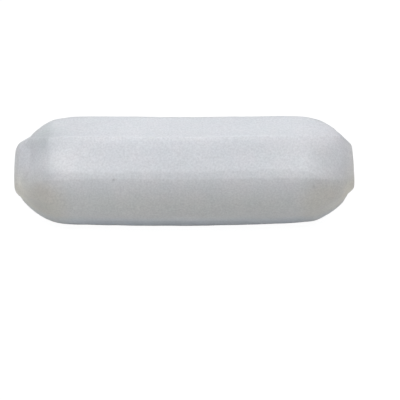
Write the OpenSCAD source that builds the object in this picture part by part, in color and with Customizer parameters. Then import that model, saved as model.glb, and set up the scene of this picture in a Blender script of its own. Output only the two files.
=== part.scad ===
// Magnetic stir bar: an eight-sided PTFE jacket moulded round a sealed rod magnet.
// The bar lies along X and rests on one flat. The middle of that flat is the origin.
// The shape of the ends is given as shares of the width across the flats, so that
// a thicker bar keeps the same ends.

/* [Bar] */
// Overall length, from the face of one nub to the face of the other
bar_len = 20; // [16:0.5:60]
// Width of the body across two opposite flats
across_flats = 6.1; // [4:0.1:8.5]
// How far the softened long edges stand out past the flats, as a share of that width
edge_share = 0.026; // [0.01:0.002:0.036]

/* [Ends] */
// Length over which each flat curves in toward the nub, as a share of the width across the flats
taper_share = 0.54; // [0.5:0.01:0.54]
// Radius of the arc that each flat follows there, as a share of the width across the flats
curve_share = 0.56; // [0.56:0.01:0.7]
// Diameter of the flat face on each nub, as a share of the width across the flats
nub_share = 0.32; // [0.2:0.01:0.34]
// Radius of the rounded rim of each nub, as a share of the width across the flats
rim_share = 0.1; // [0.05:0.01:0.12]
// Angle between the side of a nub and the axis of the bar, in degrees
nub_draft = 29; // [10:1:30]
// How far the nubs sit above the axis of the bar, as a share of the width across the flats
rise_share = 0.024; // [0:0.002:0.04]

/* [Magnet] */
// Thickness of PTFE between the rod magnet and each flat
wall = 1.05; // [0.6:0.05:1.5]
// Thickness of PTFE past each end of the rod, as a share of the width across the flats
cover_share = 0.57; // [0.5:0.01:0.7]

/* [Hidden] */
sides = 8;
half_len = bar_len / 2;
flat_r = across_flats / 2;
edge_r = flat_r + edge_share * across_flats;
taper_len = taper_share * across_flats;
taper_r = curve_share * across_flats;
// Half length of the straight part of the body
straight = half_len - taper_len;
// The body stops inside the nub, short of the nub's face
body_inset = 0.05 * across_flats;
nub_face_r = nub_share * across_flats / 2;
nub_rim_r = rim_share * across_flats;
nub_rise = rise_share * across_flats;
// Depth of the nub's root, which is buried in the taper
nub_root = 0.25 * across_flats;
magnet_d = across_flats - 2 * wall;
magnet_len = bar_len - 2 * cover_share * across_flats;
$fn = 96;

// Side view of the body: straight, with an ogive at each end
module ogive_slab() {
    intersection() {
        union() {
            square([2 * straight, across_flats], center = true);
            for (s = [-1, 1])
                translate([s * straight, 0])
                    intersection() {
                        translate([0, flat_r - taper_r]) circle(taper_r);
                        translate([0, taper_r - flat_r]) circle(taper_r);
                    }
        }
        square([bar_len - 2 * body_inset, 2 * across_flats], center = true);
    }
}

// Four slabs crossed at equal angles leave the eight flats
module flats() {
    intersection_for (i = [0 : sides / 2 - 1])
        rotate([90 + i * 360 / sides, 0, 0])
            linear_extrude(height = 4 * edge_r, center = true)
                ogive_slab();
}

// Round envelope with domed ends: its radius sets how far the edges are softened.
// It is turned by half a side, so that its seam runs along an edge and not along a flat.
module envelope() {
    rotate([180 / sides, 0, 0])
        rotate([0, 90, 0])
            rotate_extrude()
                intersection() {
                    union() {
                        square([2 * edge_r, 2 * straight], center = true);
                        for (s = [-1, 1])
                            translate([0, s * straight]) circle(edge_r);
                    }
                    translate([0, -half_len]) square([2 * edge_r, bar_len]);
                }
}

// One nub, with its face at the origin and its root toward +Z
module nub() {
    // The side starts just under the round of the rim, so that the two meet in a clean ring
    side_r = nub_face_r + nub_rim_r * cos(nub_draft) - 0.003;
    side_z = nub_rim_r * (1 - sin(nub_draft));
    rotate_extrude()
        intersection() {
            union() {
                translate([nub_face_r, nub_rim_r]) circle(nub_rim_r);
                polygon([
                    [0, 0],
                    [nub_face_r, 0],
                    [side_r, side_z],
                    [side_r + (nub_root - side_z) * tan(nub_draft), nub_root],
                    [0, nub_root]
                ]);
            }
            square([2 * edge_r, nub_root]);
        }
}

// Both nubs, with their faces at the two ends of the bar
module nubs() {
    for (s = [-1, 1])
        translate([s * half_len, 0, nub_rise])
            rotate([0, -s * 90, 0])
                nub();
}

// Plain rod on the axis of the bar, which is also the closed cavity that holds it
module rod() {
    rotate([0, 90, 0])
        cylinder(h = magnet_len, d = magnet_d, center = true);
}

// White PTFE covering, closed all round the magnet
module jacket() {
    color([0.85, 0.86, 0.88])
        translate([0, 0, flat_r])
            difference() {
                union() {
                    intersection() {
                        flats();
                        envelope();
                    }
                    nubs();
                }
                rod();
            }
}

// Cast AlNiCo rod magnet, sealed in the jacket
module magnet() {
    color([0.42, 0.42, 0.44])
        translate([0, 0, flat_r])
            rod();
}

jacket();
magnet();
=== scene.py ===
import math

import bpy
import numpy as np
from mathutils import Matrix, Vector


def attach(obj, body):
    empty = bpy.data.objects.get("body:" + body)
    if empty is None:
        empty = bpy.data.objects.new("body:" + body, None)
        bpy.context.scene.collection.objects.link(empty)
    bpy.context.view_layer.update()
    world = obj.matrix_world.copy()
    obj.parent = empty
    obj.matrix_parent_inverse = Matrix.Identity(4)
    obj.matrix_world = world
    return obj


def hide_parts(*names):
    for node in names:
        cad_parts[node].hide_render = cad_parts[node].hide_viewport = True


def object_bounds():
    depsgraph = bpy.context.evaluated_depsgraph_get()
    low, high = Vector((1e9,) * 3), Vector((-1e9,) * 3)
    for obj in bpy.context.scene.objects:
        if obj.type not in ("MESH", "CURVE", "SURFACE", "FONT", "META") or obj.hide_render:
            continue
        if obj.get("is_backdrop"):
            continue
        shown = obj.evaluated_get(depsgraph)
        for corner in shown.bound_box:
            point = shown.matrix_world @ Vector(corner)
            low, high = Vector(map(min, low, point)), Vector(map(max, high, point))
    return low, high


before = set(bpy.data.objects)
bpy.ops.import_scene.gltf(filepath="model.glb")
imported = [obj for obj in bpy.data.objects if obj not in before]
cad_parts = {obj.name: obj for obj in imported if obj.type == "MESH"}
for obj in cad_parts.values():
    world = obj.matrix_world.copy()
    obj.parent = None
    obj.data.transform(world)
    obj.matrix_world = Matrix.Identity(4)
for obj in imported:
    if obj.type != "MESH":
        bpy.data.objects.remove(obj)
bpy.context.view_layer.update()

MM = 0.001

# ---------------------------------------------------------------- camera
# Azimuth 0, 28 degrees up, long lens. The aim point sits right of and below the middle of the bar.
ELEV = math.radians(28.0)
UP = Vector((0.0, math.sin(ELEV), math.cos(ELEV)))
BACK = Vector((0.0, -math.cos(ELEV), math.sin(ELEV)))
LENS = 300.0
VIEW_W = 23.557 * MM
aim = Vector((0.0, 0.0, 3.05 * MM)) + Vector((0.916 * MM, 0, 0)) - UP * (1.696 * MM)
cam_data = bpy.data.cameras.new("camera")
cam_data.sensor_width = 36.0
cam_data.lens = LENS
cam_data.clip_start = 0.005
cam_data.clip_end = 10.0
cam = bpy.data.objects.new("camera", cam_data)
bpy.context.scene.collection.objects.link(cam)
cam.location = aim + BACK * (VIEW_W / 36.0 * LENS)
cam.rotation_mode = "QUATERNION"
cam.rotation_quaternion = (-BACK).to_track_quat("-Z", "Y")
bpy.context.scene.camera = cam

# ---------------------------------------------------------------- shape of the jacket, in mm
# geometry begin
HALF = 10.0          # half length
FLAT = 3.05          # axis to the flat it rests on
SIDES = 8            # flats are numbered from the top one, toward the front: 0 top, 2 front, 4 bottom, 6 back


def hermite(x, pts):
    """Smooth monotone curve through a few (x, y) points, level beyond both ends."""
    px = np.array([p[0] for p in pts], float)
    py = np.array([p[1] for p in pts], float)
    h = np.diff(px)
    d = np.diff(py) / h
    m = np.zeros(len(px))
    for i in range(1, len(px) - 1):
        if d[i - 1] * d[i] > 0:
            w1, w2 = 2 * h[i] + h[i - 1], h[i] + 2 * h[i - 1]
            m[i] = (w1 + w2) / (w1 / d[i - 1] + w2 / d[i])
    x = np.clip(np.asarray(x, float), px[0], px[-1])
    k = np.clip(np.searchsorted(px, x, side="right") - 1, 0, len(h) - 1)
    t = (x - px[k]) / h[k]
    return (
        (2 * t**3 - 3 * t**2 + 1) * py[k]
        + (t**3 - 2 * t**2 + t) * h[k] * m[k]
        + (3 * t**2 - 2 * t**3) * py[k + 1]
        + (t**3 - t**2) * h[k] * m[k + 1]
    )


def fall(slopes):
    """How far a flat has come in at each distance from the end, from its slope in degrees along the taper."""
    u = np.linspace(0, 8, 1601)
    s = np.tan(np.radians(hermite(u, slopes)))
    drop = np.concatenate([[0], np.cumsum((s[1:] + s[:-1]) / 2 * np.diff(u))])
    return u, drop[-1] - drop


# Slope of each flat, in degrees, against the distance from the end in mm.
# The diagonal flats come in more steeply than the others, so the top and front flats end in narrow tongues.
TAPER = {
    "left": {
        0: [(0, 46), (0.6, 38), (0.95, 31.5), (1.45, 26), (1.95, 20.5), (2.25, 12), (2.6, 5.5), (3.2, 3), (3.9, 0)],
        1: [(0, 62), (0.6, 55), (0.95, 50), (1.45, 42.5), (1.95, 34), (2.2, 20), (2.5, 11), (3.2, 7), (4.0, 0)],
        2: [(0, 54), (0.6, 49), (0.95, 45), (1.45, 34), (1.95, 22), (2.3, 13), (2.8, 6), (3.4, 2), (3.9, 0)],
        3: [(0, 59), (0.6, 49), (0.95, 44.5), (1.45, 36.5), (1.95, 26.5), (2.4, 17.5), (2.9, 8), (3.4, 3), (3.9, 0)],
        4: [(0, 46), (0.6, 38), (0.95, 31.5), (1.45, 26), (1.95, 19), (2.4, 12), (2.9, 6), (3.4, 3), (3.9, 0)],
        5: [(0, 62), (0.6, 57), (0.95, 54), (1.25, 47), (1.6, 39), (1.95, 35), (2.25, 24), (2.6, 13), (3.2, 8.5), (4.2, 0)],
    },
    "right": {
        0: [(0, 46), (0.6, 38), (0.95, 29.5), (1.45, 21.5), (1.95, 13), (2.4, 9), (2.9, 4.5), (3.4, 2), (3.9, 0)],
        1: [(0, 63), (0.6, 57), (0.95, 47), (1.45, 36), (1.95, 24.5), (2.4, 17), (2.9, 8.5), (3.4, 3.5), (3.9, 0)],
        2: [(0, 59), (0.6, 53), (0.95, 47), (1.45, 35), (1.95, 17), (2.4, 8), (2.9, 3), (3.4, 1), (3.9, 0)],
        3: [(0, 60), (0.6, 54), (0.95, 43), (1.45, 35), (1.95, 31), (2.3, 18), (2.6, 6), (3.4, 3.2), (5.2, 2.0), (6.4, 0)],
        4: [(0, 44), (0.6, 36), (0.95, 30), (1.45, 24), (1.95, 17), (2.3, 11), (2.6, 6), (3.4, 3.2), (5.2, 2.0), (6.4, 0)],
        5: [(0, 63), (0.6, 57), (0.95, 47), (1.45, 39), (1.95, 28), (2.4, 17), (2.9, 9), (3.4, 3.5), (3.9, 0)],
    },
}
GROUP = [0, 1, 2, 3, 4, 3, 2, 5]
FLATS = [
    [(-9, 2.925), (2, 2.932), (6, 2.965), (9, 2.975)],
    [(-9, 3.065), (2, 3.068), (6, 3.078), (9, 3.080)],
    [(-9, 3.075), (2, 3.070), (6, 3.055), (9, 3.050)],
    [(-9.0, 3.060), (-7.6, 3.038), (-6.0, 3.008), (-4.2, 3.052), (-2.8, 3.085), (-1.0, 3.080), (0.8, 3.050), (4.0, 3.045), (6.4, 3.052), (7.4, 3.038), (9.0, 3.058)],
    [(0, 3.05), (1, 3.05)],
    [(0, 3.06), (1, 3.06)],
    [(0, 3.05), (1, 3.05)],
    [(-9, 3.138), (-4, 3.118), (2, 3.095), (5, 3.072), (9, 3.056)],
]


def flat_distance(x, i):
    """Axis to flat i at station x."""
    out = hermite(x, FLATS[i])
    for end, sign in (("left", -1), ("right", 1)):
        u, drop = fall(TAPER[end][GROUP[i]])
        out -= np.interp(HALF - sign * x, u, drop, right=0.0)
    return np.maximum(out, 0.25)


def bend(x):
    """Height of the middle of the section above its place at mid-length: the bar is very slightly bowed."""
    return hermite(x, [(-10, -0.015), (-7.5, 0.03), (-4.5, 0.03), (0.5, 0.0), (3.5, 0.05), (5.5, 0.075), (10, 0.085)])


# How far each long edge is softened: along the flat before it and along the flat after it.
# The edge after the top flat is crisp on top and eases out below it. The next one is a chamfer.
ROUND = {
    0: (0.11, 0.78),
    1: (0.325, 0.215),
    2: (0.55, 0.50),
    3: (0.42, 0.42),
    4: (0.42, 0.42),
    5: (0.50, 0.50),
    6: (0.34, 0.34),
    7: (0.44, 0.44),
}
CHAMFER = {1: (0.12, 0.06)}
# The chamfer is a little narrower toward the left end
SPREAD = {1: [(-9.4, 0.55), (-8.6, 0.38), (-7.9, 1.0), (-7.4, 1.0), (-6.8, 0.64), (-4, 0.66), (0, 0.93), (4, 0.95), (6.6, 0.90), (8.0, 0.32), (9.2, 0.55)]}
# Both softened edges of the front flat are crisper where it runs out into the tapers, and the flat turns slightly hollow
CRISP = {1: [(-9.4, 0.8), (-8.6, 0.45), (-7.6, 1.0), (6.8, 1.0), (8.0, 0.45), (9.2, 0.8)]}
HOLLOW = {2: [(-9.3, 0.0), (-8.3, -0.5), (-7.0, 1.0), (6.4, 1.0), (7.8, -0.7), (9.0, 0.0)]}
CROWN = [0.012, 0.014, 0.050, 0.014, 0.0, 0.014, 0.020, 0.014]
N_FLAT = [15, 17, 17, 15, 9, 12, 13, 13]
N_EDGE = [22, 18, 14, 12, 12, 10, 10, 12]


def bezier(p0, c, p1, t):
    t = np.asarray(t)[:, None, None]
    return (1 - t) ** 2 * p0 + 2 * t * (1 - t) * c + t**2 * p1


def section(x):
    """Points round the bar at every station: array of stations by points by (toward the front, up)."""
    n = len(x)
    ang = np.radians(np.arange(SIDES) * 360 / SIDES)
    nrm = np.stack([np.sin(ang), np.cos(ang)], 1)
    d = np.stack([flat_distance(x, i) for i in range(SIDES)], 1)
    # No flat may vanish between its neighbours: each keeps a little of its width
    for i in range(SIDES):
        most = (math.sqrt(2) * (d[:, i - 1] + d[:, (i + 1) % SIDES]) - 0.16 * d.mean(1)) / 2
        d[:, i] = np.minimum(d[:, i], most)
    size = d.mean(1) / FLAT
    corner = np.zeros((n, SIDES, 2))
    for i in range(SIDES):
        a, b = nrm[i], nrm[(i + 1) % SIDES]
        det = a[0] * b[1] - a[1] * b[0]
        da, db = d[:, i], d[:, (i + 1) % SIDES]
        corner[:, i, 0] = (da * b[1] - db * a[1]) / det
        corner[:, i, 1] = (a[0] * db - b[0] * da) / det
    # Length left on each flat, so that the softening never eats a narrow one up
    start, cut0, cut1 = {}, {}, {}
    width = np.stack([np.linalg.norm(corner[:, i] - corner[:, i - 1], axis=1) for i in range(SIDES)], 1)
    for i in range(SIDES):
        t0, t1 = ROUND[i]
        grow = hermite(x, SPREAD[i]) if i in SPREAD else 1.0
        cut0[i] = t0 * size * grow
        cut1[i] = t1 * size * (hermite(x, CRISP[i]) if i in CRISP else 1.0)
    for i in range(SIDES):
        need = cut1[(i - 1) % SIDES] + cut0[i]
        k = np.minimum(1.0, 0.86 * width[:, i] / np.maximum(need, 1e-6))
        cut1[(i - 1) % SIDES] = cut1[(i - 1) % SIDES] * k
        cut0[i] = cut0[i] * k
    bow = [hermite(x, HOLLOW[i])[:, None] if i in HOLLOW else 1.0 for i in range(SIDES)]
    rows = []
    tang = np.stack([np.cos(ang), -np.sin(ang)], 1)
    for i in range(SIDES):
        before, after = (i - 1) % SIDES, i
        a = start[i] if i in start else corner[:, before] + tang[i] * cut1[before][:, None]
        b = corner[:, after] - tang[i] * cut0[after][:, None]
        t = np.linspace(0, 1, N_FLAT[i])[:, None, None]
        if i == 0:  # closer together toward the crisp edge
            t = 1 - (1 - t) ** 1.7
        # The swell of a flat goes with the square of its width, so that it dies out as the flat narrows
        span = np.linalg.norm(b - a, axis=1, keepdims=True)
        swell = CROWN[i] * (span / 1.6) ** 2 * bow[i]
        crown = swell * nrm[i]
        rows.append(a + (b - a) * t + crown * (4 * t * (1 - t)))
        # The softened edge leaves each flat along its own tangent
        lead = lambda p, q: (q - p) / np.maximum(np.linalg.norm(q - p, axis=1, keepdims=True), 1e-9)
        out_dir = tang[i] - nrm[i] * (4 * CROWN[i] * bow[i] * span / 1.6**2)
        j = (i + 1) % SIDES
        c2 = corner[:, j] - tang[j] * cut0[j][:, None]
        p1 = corner[:, i] + tang[j] * cut1[i][:, None]
        span2 = np.linalg.norm(c2 - p1, axis=1, keepdims=True)
        in_dir = tang[j] + nrm[j] * (4 * CROWN[j] * bow[j] * span2 / 1.6**2)
        m = N_EDGE[i]
        if i in CHAMFER:
            ra, rb = (r * size[:, None] for r in CHAMFER[i])
            run = lead(b, p1)
            ca = b + 0 * run
            cb = p1
            a0 = b - out_dir * ra
            a1 = b + run * ra
            b0 = p1 - run * rb
            b1 = p1 + in_dir * rb
            rows[-1] = a + (a0 - a) * t + crown * (4 * t * (1 - t))
            first = bezier(a0, ca, a1, np.linspace(0, 1, m // 2 + 1)[1:])
            last = bezier(b0, cb, b1, np.linspace(0, 1, m // 2 + 1)[:-1])
            rows.append(first)
            rows.append(last)
            start[j] = b1
        else:
            # Meeting point of the two tangents
            w = p1 - b
            den = out_dir[:, 0] * in_dir[:, 1] - out_dir[:, 1] * in_dir[:, 0]
            s = (w[:, 0] * in_dir[:, 1] - w[:, 1] * in_dir[:, 0]) / den
            c = b + out_dir * s[:, None]
            tt = np.linspace(0, 1, m + 2)[1:-1]
            rows.append(bezier(b, c, p1, tt))
    pts = np.concatenate(rows, 0).transpose(1, 0, 2)
    return pts


# Round stub at each end: face and rim radius, slope of its side, where its middle sits, lean of its face
NUB = {
    "left": {"face": 1.03, "rim": 0.68, "draft": 27.0, "up": 0.09, "front": -0.13, "lean": 0.030, "root": 0.9},
    "right": {"face": 1.10, "rim": 0.42, "draft": 38.5, "up": 0.20, "front": -0.08, "lean": 0.062, "root": 0.6},
}
FILLET = 0.09


def nub_radius(u, nub):
    """Radius of the stub at a distance u from its face. Its side eases off toward its root."""
    fine = np.linspace(0, 3, 3001)
    arc = np.degrees(np.arccos(np.clip(1 - fine / nub["rim"], 0, 1)))
    slope = np.maximum(90 - arc, hermite(fine, [(0, nub["draft"]), (nub["root"], nub["draft"]), (nub["root"] + 0.5, nub["draft"] - 18), (nub["root"] + 1.1, 0)]))
    step = np.tan(np.radians(np.minimum(slope, 89.5)))
    # The first stretch follows the arc itself, whose slope starts upright
    first = nub["rim"] * np.sqrt(np.clip(1 - (1 - np.minimum(fine, nub["rim"]) / nub["rim"]) ** 2, 0, 1))
    k = int(np.argmax(90 - arc <= slope - 1e-9)) if np.any(90 - arc <= slope - 1e-9) else len(fine) - 1
    r = np.concatenate([[0], np.cumsum((step[1:] + step[:-1]) / 2 * np.diff(fine))])
    r = np.where(np.arange(len(fine)) <= k, first, first[k] + r - r[k])
    return nub["face"] + np.interp(u, fine, r)


def stations():
    """Distances from the end, closer together where the shape turns faster."""
    out = []
    for end in ("left", "right"):
        nub = NUB[end]
        a = np.radians(np.linspace(0, 90 - nub["draft"], 14))
        rim = nub["rim"] * (1 - np.cos(a))
        u = np.concatenate([
            rim,
            np.arange(rim[-1] + 0.035, 1.15, 0.035),
            np.arange(1.15, 4.1, 0.05),
            np.arange(4.1, 9.96, 0.11),
            [10.0],
        ])
        out.append(u)
    left = -HALF + out[0]
    right = HALF - out[1][::-1]
    return np.concatenate([left, right[1:]])


def waves(x, a):
    """Slow unevenness of a moulded surface, in mm."""
    return (
        0.0050 * np.sin(1.10 * x + 2.0 * np.sin(a + 0.4)) * np.cos(2 * a + 0.7)
        + 0.0035 * np.sin(2.30 * x + 1.3 + 3 * np.cos(a - 0.9))
        + 0.0020 * np.sin(4.10 * x - 2.0 * np.sin(2 * a) + 0.5)
        + 0.0012 * np.cos(7.30 * x + 5 * a)
    )


def seam(x, s):
    """Fine raised line along the crisp edge, with a shallow groove above it. s is the way round from that edge."""
    along = hermite(x, [(-8.4, 0), (-7.5, 0.75), (-5, 0.9), (0, 1.0), (4.5, 0.9), (6.5, 0.5), (8.3, 0.25), (9.0, 0)])
    ripple = 1 + 0.18 * np.sin(2.9 * x + 0.4) + 0.12 * np.sin(6.7 * x + 1.9)
    lip = 0.0215 * np.exp(-(((s - 0.085) / 0.062) ** 2))
    groove = -0.0115 * np.exp(-(((s + 0.070) / 0.080) ** 2))
    return (along * ripple)[:, None] * (lip + groove)


def jacket_points():
    """All points of the jacket's skin, in mm: stations by points by (x, y, z), without the middles of the two faces."""
    x = stations()
    p = section(x)
    r = np.linalg.norm(p, axis=2)
    e = p / r[..., None]
    # Way round from the crisp edge, for the seam
    step = np.concatenate([np.zeros((len(x), 1)), np.linalg.norm(np.diff(p, axis=1), axis=2)], 1)
    way = np.cumsum(step, 1)
    way = way - way[:, N_FLAT[0] - 1][:, None]
    r = r + seam(x, way)
    ang = np.arctan2(e[..., 0], e[..., 1])
    body = hermite(np.abs(x), [(0, 1), (8.5, 1), (9.6, 0.4), (10, 0)])[:, None]
    r = r + waves(x[:, None], ang) * body
    for end, sign in (("left", -1), ("right", 1)):
        nub = NUB[end]
        u = HALF - sign * x
        near = u < 2.4
        rho = nub_radius(u[near], nub)[:, None]
        o = np.array([nub["front"], nub["up"]])
        eo = e[near] @ o
        rn = eo + np.sqrt(np.maximum(eo * eo - o @ o + rho * rho, 0))
        # Fade the stub out inside the body, so that the fillet stays local
        rn = rn - 3.0 * hermite(u[near], [(0, 0), (1.9, 0), (2.4, 1)])[:, None]
        rb = r[near]
        k = FILLET * hermite(u[near], [(0, 0), (0.08, 0.4), (0.25, 1), (2, 1)])[:, None]
        r[near] = (rb + rn + np.sqrt((rb - rn) ** 2 + k * k)) / 2
    f, h = e[..., 0] * r, e[..., 1] * r
    h = h + bend(x)[:, None]
    up = h * math.cos(math.radians(28)) - f * math.sin(math.radians(28))
    xx = np.repeat(x[:, None], p.shape[1], 1)
    for end, sign in (("left", -1), ("right", 1)):
        u = HALF - sign * x
        fade = hermite(u, [(0, 1), (1.3, 0), (2, 0)])[:, None]
        xx = xx - sign * NUB[end]["lean"] * np.maximum(up + 0.95, 0) * fade
    z = h + FLAT
    return np.stack([xx, -f, np.maximum(z, 0.0)], 2)


# geometry end


def build_jacket():
    pts = jacket_points()
    n, m = pts.shape[:2]
    verts = [pts.reshape(-1, 3)]
    faces, uvs = [], []
    # Length along the skin and way round it, for an even unwrapping
    along = np.concatenate([[0], np.cumsum(np.linalg.norm(np.diff(pts.mean(1), axis=0), axis=1)
                                           + np.abs(np.diff(np.linalg.norm(pts - pts.mean(1, keepdims=True), axis=2).mean(1))))])
    along /= along[-1]
    ring = np.linalg.norm(np.diff(np.concatenate([pts[n // 2], pts[n // 2][:1]]), axis=0), axis=1)
    around = np.concatenate([[0], np.cumsum(ring)])
    around = around / around[-1] * 0.86
    for s in range(n - 1):
        for j in range(m):
            k = (j + 1) % m
            faces.append((s * m + j, s * m + k, (s + 1) * m + k, (s + 1) * m + j))
            uvs.append(((along[s], around[j]), (along[s], around[j + 1]), (along[s + 1], around[j + 1]), (along[s + 1], around[j])))
    # End faces: rings toward the middle, with a very shallow dish
    base = n * m
    for end, row, sign in (("left", 0, -1), ("right", n - 1, 1)):
        edge = pts[row]
        mid = edge.mean(0)
        rad = np.linalg.norm(edge - mid, axis=1).mean()
        scales = [0.95, 0.86, 0.72, 0.56, 0.40, 0.25, 0.12]
        rows = [row * m]
        for q in scales:
            ringp = mid + (edge - mid) * q
            ringp[:, 0] -= sign * 0.018 * (1 - q * q) ** 2
            rows.append(base)
            verts.append(ringp)
            base += m
        centre = mid.copy()
        centre[0] -= sign * 0.018
        verts.append(centre[None])
        ci = base
        base += 1
        cx, cy = (0.08 if end == "left" else 0.24), 0.935
        ang = np.arctan2(edge[:, 1] - mid[1], edge[:, 2] - mid[2])

        def disc(q, j):
            return (cx + 0.055 * q * math.cos(ang[j % m]), cy + 0.055 * q * math.sin(ang[j % m]))

        qs = [1.0] + scales
        for a in range(len(rows) - 1):
            for j in range(m):
                k = (j + 1) % m
                quad = (rows[a] + j, rows[a] + k, rows[a + 1] + k, rows[a + 1] + j)
                uv = (disc(qs[a], j), disc(qs[a], j + 1), disc(qs[a + 1], j + 1), disc(qs[a + 1], j))
                if sign < 0:
                    quad, uv = quad[::-1], uv[::-1]
                faces.append(quad)
                uvs.append(uv)
        for j in range(m):
            k = (j + 1) % m
            tri = (rows[-1] + j, rows[-1] + k, ci)
            uv = (disc(qs[-1], j), disc(qs[-1], j + 1), (cx, cy))
            if sign < 0:
                tri, uv = tri[::-1], uv[::-1]
            faces.append(tri)
            uvs.append(uv)
    co = np.concatenate(verts) * MM
    me = bpy.data.meshes.new("jacket_skin")
    me.from_pydata([tuple(v) for v in co], [], faces)
    uvl = me.uv_layers.new(name="OFBake")
    uvl.data.foreach_set("uv", np.array([c for f in uvs for p in f for c in p], dtype=np.float32))
    me.polygons.foreach_set("use_smooth", [True] * len(me.polygons))
    me.update()
    me.validate()
    ob = bpy.data.objects.new("jacket_skin", me)
    bpy.context.scene.collection.objects.link(ob)
    return ob


# ---------------------------------------------------------------- material helpers
def material(name):
    m = bpy.data.materials.new(name)
    m.use_nodes = True
    nt = m.node_tree
    nt.nodes.clear()
    return m, nt


def add(nt, kind, inputs=None, **props):
    node = nt.nodes.new(kind)
    for k, v in props.items():
        setattr(node, k, v)
    for k, v in (inputs or {}).items():
        sock = node.inputs[k]
        if isinstance(v, bpy.types.NodeSocket):
            nt.links.new(v, sock)
        else:
            sock.default_value = v
    return node


def math_node(nt, op, a, b=0.0, c=0.0, clamp=False):
    return add(nt, "ShaderNodeMath", {0: a, 1: b, 2: c}, operation=op, use_clamp=clamp).outputs[0]


def noise(nt, vec, scale, detail=2.0, rough=0.5, w=None, distortion=0.0):
    node = add(nt, "ShaderNodeTexNoise", {"Vector": vec, "Scale": scale, "Detail": detail, "Roughness": rough, "Distortion": distortion})
    return node.outputs["Fac"]


def remap(nt, v, a, b, c, d, smooth=False):
    return add(nt, "ShaderNodeMapRange", {"Value": v, "From Min": a, "From Max": b, "To Min": c, "To Max": d},
               interpolation_type="SMOOTHERSTEP" if smooth else "LINEAR").outputs["Result"]


def mix_colour(nt, fac, a, b, blend="MIX"):
    node = add(nt, "ShaderNodeMix", {"Factor": fac}, data_type="RGBA", blend_type=blend)
    for k, v in ((6, a), (7, b)):
        if isinstance(v, bpy.types.NodeSocket):
            nt.links.new(v, node.inputs[k])
        else:
            node.inputs[k].default_value = v
    return node.outputs[2]


def mm_coords(nt, scale=(1000.0, 1000.0, 1000.0)):
    tc = add(nt, "ShaderNodeTexCoord")
    return add(nt, "ShaderNodeMapping", {"Vector": tc.outputs["Object"], "Scale": scale}).outputs["Vector"]


def blob(nt, p, at, size):
    """Soft spot round a point: 1 in the middle, falling off over the given size in mm along X, Y and Z."""
    q = add(nt, "ShaderNodeVectorMath", {0: p, 1: at}, operation="SUBTRACT").outputs[0]
    q = add(nt, "ShaderNodeVectorMath", {0: q, 1: size}, operation="DIVIDE").outputs[0]
    dist = add(nt, "ShaderNodeVectorMath", {0: q}, operation="LENGTH").outputs["Value"]
    return math_node(nt, "EXPONENT", math_node(nt, "MULTIPLY", math_node(nt, "MULTIPLY", dist, dist), -1.0))


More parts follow.
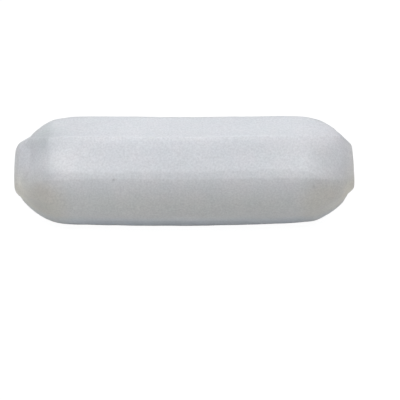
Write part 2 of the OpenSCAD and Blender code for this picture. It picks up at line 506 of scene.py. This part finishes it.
# Middle, size and colour factor of each cloud; middle, radius and darkness of each speck, in mm. Many clouds are
# painted light and shade: paler ones stand in for light and sheen, darker ones for shade.
TONE_AND_LIGHT_CLOUDS = [
    ((-7.05, -2.4, 5.0), (0.70, 1.0, 1.0), (1.105, 1.090, 1.080)),
    ((-4.8, -2.75, 4.55), (2.1, 0.8, 0.75), (1.040, 1.040, 1.040)),
    ((-8.0, -1.3, 5.5), (1.2, 0.9, 0.6), (0.905, 0.920, 0.935)),
    ((-7.9, -2.9, 4.3), (0.8, 0.5, 0.5), (0.930, 0.940, 0.950)),
    ((-8.2, -2.4, 3.35), (1.1, 1.1, 0.65), (0.962, 0.937, 0.902)),
    ((8.1, -2.4, 3.35), (1.1, 1.1, 0.65), (0.945, 0.925, 0.885)),
    ((-8.3, -0.8, 1.2), (1.3, 2.0, 1.1), (1.070, 1.090, 1.080)),
    ((8.5, -0.8, 1.3), (1.5, 2.0, 1.2), (1.140, 1.150, 1.165)),
    ((9.5, -1.0, 2.2), (0.45, 1.5, 0.9), (1.260, 1.235, 1.185)),
    ((-9.7, -1.1, 2.4), (0.45, 1.5, 1.1), (1.200, 1.190, 1.160)),
    ((-9.0, -1.5, 1.55), (0.5, 1.0, 0.6), (1.125, 1.125, 1.110)),
    ((8.8, -1.6, 1.6), (0.5, 1.0, 0.6), (1.080, 1.080, 1.070)),
    ((8.0, -2.8, 3.95), (0.6, 0.4, 0.3), (0.930, 0.930, 0.930)),
    ((-9.3, -0.8, 4.9), (0.6, 1.3, 0.8), (0.920, 0.920, 0.930)),
    ((-7.65, -2.9, 4.2), (0.55, 0.5, 0.35), (0.920, 0.920, 0.925)),
    ((7.8, -1.6, 5.0), (0.85, 1.1, 0.8), (0.935, 0.930, 0.922)),
    ((-6.3, -0.2, 6.0), (1.4, 1.4, 0.6), (0.955, 0.950, 0.950)),
    ((-7.9, -0.9, 5.65), (0.9, 0.8, 0.55), (0.925, 0.925, 0.925)),
    ((-5.7, -2.9, 1.7), (2.2, 1.1, 1.7), (1.050, 1.050, 1.050)),
    ((9.55, -0.9, 4.6), (0.40, 1.2, 0.9), (0.930, 0.930, 0.930)),
    ((7.0, -2.3, 4.95), (0.7, 0.8, 0.55), (1.035, 1.035, 1.035)),
    ((-10.1, 0.0, 3.2), (0.6, 2.2, 2.2), (0.980, 0.965, 0.925)),
    ((10.1, 0.0, 3.3), (0.6, 2.2, 2.2), (1.010, 0.975, 0.895)),
    ((4.8, -2.75, 4.6), (2.2, 0.8, 0.70), (1.030, 1.030, 1.030)),
    ((-9.6, -1.0, 4.4), (0.35, 0.9, 0.8), (0.890, 0.895, 0.905)),
    ((-8.7, -1.9, 4.8), (0.7, 0.9, 0.9), (1.060, 1.060, 1.065)),
    ((8.7, -1.8, 5.0), (0.45, 0.8, 0.6), (1.035, 1.030, 1.030)),
    ((8.3, -2.2, 1.9), (0.7, 0.8, 0.6), (1.035, 1.035, 1.045)),
    ((-9.6, -0.8, 2.0), (0.35, 0.8, 0.4), (1.110, 1.110, 1.110)),
    ((4.8, -1.9, 5.5), (2.6, 0.6, 0.55), (0.965, 0.965, 0.965)),
    ((8.4, -0.3, 5.7), (1.1, 1.4, 0.8), (1.100, 1.085, 1.085)),
    ((-8.3, -0.2, 5.7), (1.1, 1.3, 0.6), (1.010, 1.030, 1.000)),
    ((-6.6, -1.65, 0.42), (1.5, 0.7, 0.40), (1.085, 1.085, 1.085)),
    ((-8.95, -1.95, 4.0), (0.30, 0.6, 0.45), (1.055, 1.055, 1.055)),
    ((-8.25, -2.2, 2.3), (0.40, 0.6, 0.35), (0.955, 0.955, 0.955)),
    ((-8.25, -1.75, 1.2), (0.40, 0.6, 0.30), (1.055, 1.055, 1.055)),
    ((7.3, -2.95, 3.1), (0.50, 0.4, 0.30), (1.040, 1.040, 1.040)),
    ((8.7, -2.1, 2.15), (0.35, 0.5, 0.30), (1.045, 1.045, 1.045)),
    ((8.7, -1.55, 1.15), (0.35, 0.5, 0.30), (0.950, 0.950, 0.950)),
    ((6.2, -1.6, 0.5), (0.70, 0.5, 0.30), (0.960, 0.960, 0.960)),
    ((7.6, -2.5, 4.4), (0.45, 0.5, 0.30), (0.965, 0.965, 0.965)),
    ((5.9, -1.15, 5.95), (1.4, 0.6, 0.45), (0.970, 0.970, 0.970)),
    ((-7.2, -1.3, 5.75), (0.5, 0.5, 0.40), (0.963, 0.963, 0.963)),
]
SPECKS = [
    ((-4.095, -3.02, 4.085), 0.074, 0.38),
    ((7.545, -3.05, 3.60), 0.080, 0.60),
    ((1.9, 2.2, 5.1), 0.060, 0.45),
    ((-6.2, 2.9, 2.3), 0.055, 0.40),
]


def ptfe():
    m, nt = material("ptfe_white")
    p = mm_coords(nt)
    sep = add(nt, "ShaderNodeSeparateXYZ", {"Vector": p})
    # Colour: cool off-white, cloudy at two scales
    cloud = noise(nt, p, 0.55, 3.0, 0.55)
    mottle = noise(nt, p, 3.2, 3.0, 0.6)
    grain = noise(nt, p, 9.0, 2.0, 0.6)
    base = mix_colour(nt, remap(nt, cloud, 0.3, 0.7, 0.0, 1.0), (0.668, 0.680, 0.700, 1), (0.700, 0.706, 0.716, 1))
    base = mix_colour(nt, remap(nt, mottle, 0.3, 0.7, 0.0, 0.60), base, (0.652, 0.662, 0.680, 1))
    base = mix_colour(nt, 1.0, base, mix_colour(nt, remap(nt, grain, 0.30, 0.70, 0.0, 1.0), (0.925, 0.925, 0.927, 1), (1.095, 1.095, 1.092, 1)), "MULTIPLY")
    hue = noise(nt, p, 1.1, 2.0, 0.5)
    base = mix_colour(nt, 1.0, base, mix_colour(nt, remap(nt, hue, 0.32, 0.68, 0.0, 1.0), (0.994, 1.003, 1.000, 1), (1.006, 0.998, 1.003, 1)), "MULTIPLY")
    # The sealed rod shows through as a slightly darker middle; the stubs are solid PTFE and whiter. The dips over both
    # tapers are painted shade of the tapers.
    drift = math_node(nt, "MULTIPLY_ADD", math_node(nt, "SUBTRACT", cloud, 0.5), 0.9, sep.outputs["X"])
    ramp = add(nt, "ShaderNodeValToRGB", {"Fac": remap(nt, drift, -10.0, 10.0, 0.0, 1.0)})
    stops = [(-10, 1.06), (-9.2, 1.03), (-8.75, 0.965), (-8.1, 0.965), (-7.45, 1.005), (-6.5, 1.01), (-5.2, 1.010),
             (-3.0, 1.010), (0.0, 1.0), (6.6, 1.0), (7.5, 0.965), (8.6, 0.955), (9.3, 0.975), (9.7, 1.02)]
    while len(ramp.color_ramp.elements) < len(stops):
        ramp.color_ramp.elements.new(0.5)
    for e, (at, v) in zip(ramp.color_ramp.elements, stops):
        e.position = (at + 10) / 20
        e.color = (v / 1.06, v / 1.06, v / 1.06, 1)
    ramp.color_ramp.interpolation = "EASE"
    base = mix_colour(nt, 1.0, base, ramp.outputs["Color"], "MULTIPLY")
    base = mix_colour(nt, 1.0, base, (1.06, 1.06, 1.06, 1), "MULTIPLY")
    # The ends are painted warmer and a little darker below the middle, most on the front: painted shade of the lower
    # tapers
    away = remap(nt, math_node(nt, "ABSOLUTE", sep.outputs["X"]), 6.1, 7.9, 0.0, 1.0, True)
    low = math_node(nt, "MULTIPLY", remap(nt, sep.outputs["Z"], 2.2, 4.2, 1.0, 0.0, True),
                    remap(nt, sep.outputs["Y"], -1.5, 1.5, 1.0, 0.35, True))
    base = mix_colour(nt, math_node(nt, "MULTIPLY", away, low), base,
                      mix_colour(nt, 1.0, base, (0.965, 0.935, 0.885, 1), "MULTIPLY"))
    # The lower half is painted a trace darker and warmer: painted shade
    side = remap(nt, sep.outputs["Z"], 2.0, 4.0, 1.0, 0.0, True)
    base = mix_colour(nt, side, base, mix_colour(nt, 1.0, base, (0.970, 0.975, 0.945, 1), "MULTIPLY"))
    # Near the ground it is painted a trace bluer and lighter: a painted reflection of the floor
    painted_floor_reflection = remap(nt, sep.outputs["Z"], 0.5, 1.7, 1.0, 0.0, True)
    base = mix_colour(nt, painted_floor_reflection, base, mix_colour(nt, 1.0, base, (1.00, 1.055, 1.14, 1), "MULTIPLY"))
    # The shallow groove behind the crisp edge is painted a trace darker, and so is the flat in front of it at
    # mid-length: painted shade on both sides, which leaves the light line along the edge as a painted highlight
    groove_painted_shade = math_node(nt, "MULTIPLY", remap(nt, sep.outputs["Y"], -1.26, -1.12, 0.0, 1.0, True),
                     remap(nt, sep.outputs["Y"], -1.30, -0.50, 1.0, 0.0, True))
    groove_painted_shade = math_node(nt, "MULTIPLY", groove_painted_shade, remap(nt, sep.outputs["Z"], 5.40, 5.80, 0.0, 1.0, True))
    base = mix_colour(nt, groove_painted_shade, base, mix_colour(nt, 1.0, base, (0.962, 0.962, 0.964, 1), "MULTIPLY"))
    fore = math_node(nt, "MULTIPLY", remap(nt, sep.outputs["Y"], -1.57, -1.46, 1.0, 0.0, True),
                     remap(nt, sep.outputs["Z"], 4.00, 4.25, 0.0, 1.0, True))
    mid = math_node(nt, "MULTIPLY", remap(nt, sep.outputs["X"], -5.2, -3.8, 0.0, 1.0, True),
                    remap(nt, sep.outputs["X"], 4.2, 5.8, 1.0, 0.0, True))
    base = mix_colour(nt, math_node(nt, "MULTIPLY", fore, mid), base,
                      mix_colour(nt, 1.0, base, (0.979, 0.984, 0.990, 1), "MULTIPLY"))
    # Paler and darker clouds on the side that faces the front, partly tone and partly painted light and shade, and fine
    # specks
    for at, size, tint in TONE_AND_LIGHT_CLOUDS:
        base = mix_colour(nt, blob(nt, p, at, size), base, mix_colour(nt, 1.0, base, (*tint, 1), "MULTIPLY"))
    for at, r, depth in SPECKS:
        base = mix_colour(nt, blob(nt, p, at, (r, r, r)), base, mix_colour(nt, 1.0, base, (depth, depth, depth, 1), "MULTIPLY"))
    # It darkens in a hair line where it turns under, close to what it lies on: a painted contact shadow in the base
    # colour, from an occlusion node
    near = add(nt, "ShaderNodeAmbientOcclusion", {"Distance": 0.50 * MM}, samples=12)
    turn = remap(nt, near.outputs["AO"], 0.22, 0.54, 0.10, 1.0, True)
    base = mix_colour(nt, remap(nt, turn, 0.0, 1.0, 1.0, 0.0), base, (0.0, 0.0, 0.0, 1))
    bsdf = add(nt, "ShaderNodeBsdfPrincipled", {
        "Base Color": base,
        "Subsurface Weight": 0.92,
        "Subsurface Radius": (1.0, 1.0, 1.0),
        "Subsurface Scale": 0.0024,
        "IOR": 1.36,
    })
    rough = noise(nt, p, 2.1, 3.0, 0.6)
    nt.links.new(remap(nt, rough, 0.3, 0.7, 0.40, 0.52), bsdf.inputs["Roughness"])
    # Bump: fine waxy grain over a softer orange-peel
    peel = noise(nt, p, 2.4, 2.0, 0.5)
    fine = noise(nt, p, 14.0, 3.0, 0.65)
    h = math_node(nt, "ADD", math_node(nt, "MULTIPLY", peel, 0.006 * MM), math_node(nt, "MULTIPLY", fine, 0.0022 * MM))
    bump = add(nt, "ShaderNodeBump", {"Height": h, "Strength": 1.0, "Distance": 1.0})
    nt.links.new(bump.outputs["Normal"], bsdf.inputs["Normal"])
    out = add(nt, "ShaderNodeOutputMaterial", {"Surface": bsdf.outputs[0]})
    return m


def cast_magnet():
    m, nt = material("cast_alnico")
    p = mm_coords(nt)
    pores = noise(nt, p, 3.0, 5.0, 0.65)
    stain = noise(nt, p, 0.8, 3.0, 0.6)
    base = mix_colour(nt, remap(nt, stain, 0.3, 0.7, 0.0, 1.0), (0.27, 0.265, 0.26, 1), (0.40, 0.395, 0.39, 1))
    base = mix_colour(nt, remap(nt, pores, 0.55, 0.75, 0.0, 0.7), base, (0.12, 0.115, 0.11, 1))
    bsdf = add(nt, "ShaderNodeBsdfPrincipled", {"Base Color": base, "Metallic": 0.9})
    nt.links.new(remap(nt, pores, 0.3, 0.75, 0.42, 0.68), bsdf.inputs["Roughness"])
    ground = noise(nt, mm_coords(nt, (300.0, 9000.0, 9000.0)), 1.0, 2.0, 0.5)
    h = math_node(nt, "ADD", math_node(nt, "MULTIPLY", pores, -0.02 * MM), math_node(nt, "MULTIPLY", ground, 0.003 * MM))
    bump = add(nt, "ShaderNodeBump", {"Height": h, "Strength": 1.0, "Distance": 1.0})
    nt.links.new(bump.outputs["Normal"], bsdf.inputs["Normal"])
    add(nt, "ShaderNodeOutputMaterial", {"Surface": bsdf.outputs[0]})
    return m


jacket = build_jacket()
jacket.data.materials.append(ptfe())
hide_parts("jacket")
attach(jacket, "root")

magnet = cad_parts["magnet"]
magnet.data.materials.clear()
magnet.data.materials.append(cast_magnet())

# ---------------------------------------------------------------- stage
FLOOR_BOUNCE = 0.47
FLOOR_GLOW = 0.213


def floor_material():
    m, nt = material("pale_floor")
    p = mm_coords(nt)
    n = noise(nt, p, 0.06, 2.0, 0.5)
    tint = mix_colour(nt, n, (0.945, 0.948, 0.950, 1), (0.965, 0.965, 0.965, 1))
    lp = add(nt, "ShaderNodeLightPath")
    seen = add(nt, "ShaderNodeBsdfDiffuse", {"Color": tint})
    # The floor is near white everywhere but in the narrow gap under the rounded lower edge, where a contact shadow is
    # painted into its glow
    gap = add(nt, "ShaderNodeAmbientOcclusion", {"Distance": 0.07 * MM}, samples=16)
    lit = remap(nt, gap.outputs["AO"], 0.02, 0.36, 0.10, 1.12, True)
    glow = add(nt, "ShaderNodeEmission", {"Color": tint, "Strength": lit})
    shown = add(nt, "ShaderNodeMixShader", {0: 0.91, 1: seen.outputs[0], 2: glow.outputs[0]})
    bounce = add(nt, "ShaderNodeBsdfDiffuse", {"Color": (FLOOR_BOUNCE, FLOOR_BOUNCE, FLOOR_BOUNCE, 1)})
    fill = add(nt, "ShaderNodeEmission", {"Color": (1.0, 0.98, 0.98, 1), "Strength": FLOOR_GLOW})
    under = add(nt, "ShaderNodeAddShader", {0: bounce.outputs[0], 1: fill.outputs[0]})
    both = add(nt, "ShaderNodeMixShader", {0: lp.outputs["Is Camera Ray"], 1: under.outputs[0], 2: shown.outputs[0]})
    add(nt, "ShaderNodeOutputMaterial", {"Surface": both.outputs[0]})
    return m


def build_floor():
    n, r = 64, 0.6
    v = [(0, 0, 0)] + [(r * math.cos(2 * math.pi * i / n), r * math.sin(2 * math.pi * i / n), 0) for i in range(n)]
    f = [(0, i + 1, (i + 1) % n + 1) for i in range(n)]
    me = bpy.data.meshes.new("floor")
    me.from_pydata(v, [], f)
    ob = bpy.data.objects.new("floor", me)
    bpy.context.scene.collection.objects.link(ob)
    return ob


floor = build_floor()
floor.data.materials.append(floor_material())
floor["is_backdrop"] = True

# ---------------------------------------------------------------- light
# Soft boxes round the object: azimuth from the front toward the right, elevation, size in m, power in W, colour
LIGHTS = {
    "key_left": (-60, 58, 0.28, 0.90, (0.98, 0.99, 1.00)),
    "key_right": (68, 58, 0.28, 0.84, (0.99, 0.985, 1.00)),
    "front": (0, 58, 0.28, 0.71, (0.98, 0.97, 0.90)),
    "top": (0, 90, 0.34, 0.34, (0.55, 0.62, 0.96)),
    "back": (180, 30, 0.26, 0.46, (0.96, 1.00, 1.00)),
}
WORLD = (0.02, 0.02, 0.02)
for name, (az, el, size, power, colour) in LIGHTS.items():
    ld = bpy.data.lights.new(name, "AREA")
    ld.shape = "DISK"
    ld.size = size
    ld.energy = power
    ld.color = colour
    lo = bpy.data.objects.new(name, ld)
    bpy.context.scene.collection.objects.link(lo)
    a, e = math.radians(az), math.radians(el)
    way = Vector((math.sin(a) * math.cos(e), -math.cos(a) * math.cos(e), math.sin(e)))
    lo.location = way * 0.5
    lo.rotation_mode = "QUATERNION"
    lo.rotation_quaternion = way.to_track_quat("Z", "Y")
    lo.visible_camera = False

world = bpy.data.worlds.new("world")
bpy.context.scene.world = world
world.use_nodes = True
wn = world.node_tree
wn.nodes.clear()
lp = add(wn, "ShaderNodeLightPath")
sky = add(wn, "ShaderNodeBackground", {"Color": (*WORLD, 1), "Strength": 1.0})
white = add(wn, "ShaderNodeBackground", {"Color": (1.0, 1.0, 1.0, 1), "Strength": 1.0})
both = add(wn, "ShaderNodeMixShader", {0: lp.outputs["Is Camera Ray"], 1: sky.outputs[0], 2: white.outputs[0]})
add(wn, "ShaderNodeOutputWorld", {"Surface": both.outputs[0]})

bpy.context.scene.view_settings.view_transform = "Standard"
bpy.context.scene.view_settings.look = "None"
bpy.context.scene.view_settings.exposure = 0.0
bpy.context.scene.view_settings.gamma = 1.0

lo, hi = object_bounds()
